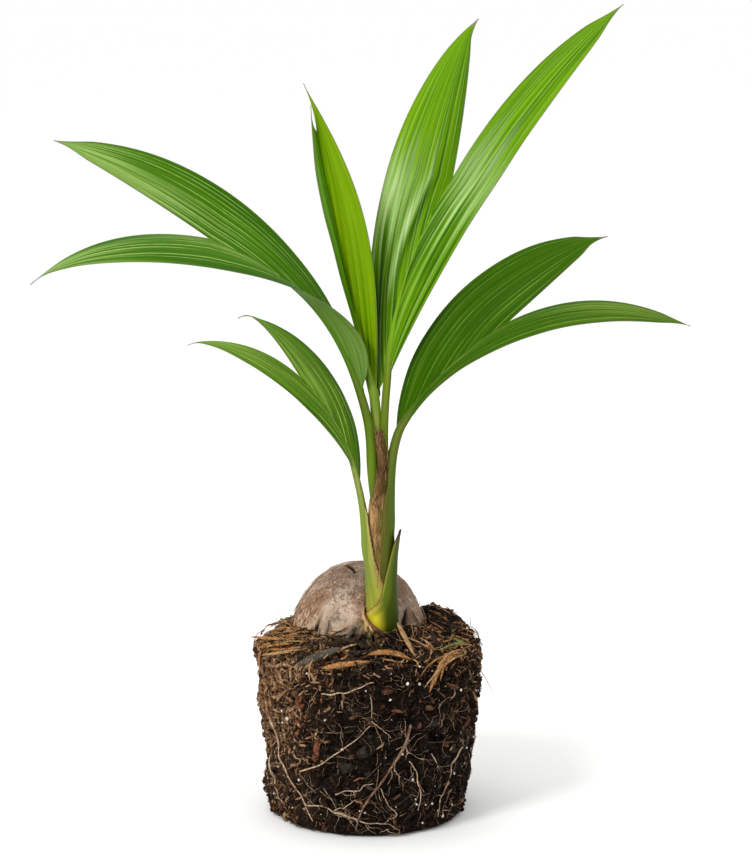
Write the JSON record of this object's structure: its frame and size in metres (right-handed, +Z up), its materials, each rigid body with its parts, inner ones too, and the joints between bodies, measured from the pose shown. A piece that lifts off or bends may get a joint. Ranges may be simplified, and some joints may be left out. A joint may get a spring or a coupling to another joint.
{
  "type": "coconut palm seedling",
  "caption": "Young coconut palm with forked pleated fronds on a short sheathed stem, sprouting from a half-sunk nut on a bare tapered root ball.",
  "frame": {"origin": "centre of the flat underside of the root ball", "axes": "+Z up, +X to the right and +Y away from the viewer in the picture's view"},
  "size_m": [0.7226, 0.2798, 0.9191],
  "materials": {
    "soil": "matte",
    "husk": "matte",
    "stem": "satin",
    "scale_leaf": "satin",
    "dry_sheath": "matte",
    "stalk": "satin",
    "leaf": "satin",
    "young_leaf": "satin"
  },
  "bodies": {
    "root": {"root_ball": "soil", "seed_nut": "husk", "stem": "stem", "scale_leaf": "scale_leaf", "dry_sheath": "dry_sheath", "lower_left_frond_stalk": "stalk", "lower_left_frond_upper_lobe": "leaf", "lower_left_frond_lower_lobe": "leaf", "upper_left_frond_stalk": "stalk", "upper_left_frond_upper_lobe": "leaf", "upper_left_frond_lower_lobe": "leaf", "spear_leaf_stalk": "stalk", "spear_leaf_left_lobe": "young_leaf", "spear_leaf_right_lobe": "young_leaf", "centre_frond_stalk": "stalk", "centre_frond_left_lobe": "leaf", "centre_frond_right_lobe": "leaf", "right_frond_stalk": "stalk", "right_frond_upper_lobe": "leaf", "right_frond_lower_lobe": "leaf"}
  },
  "joints": []
}
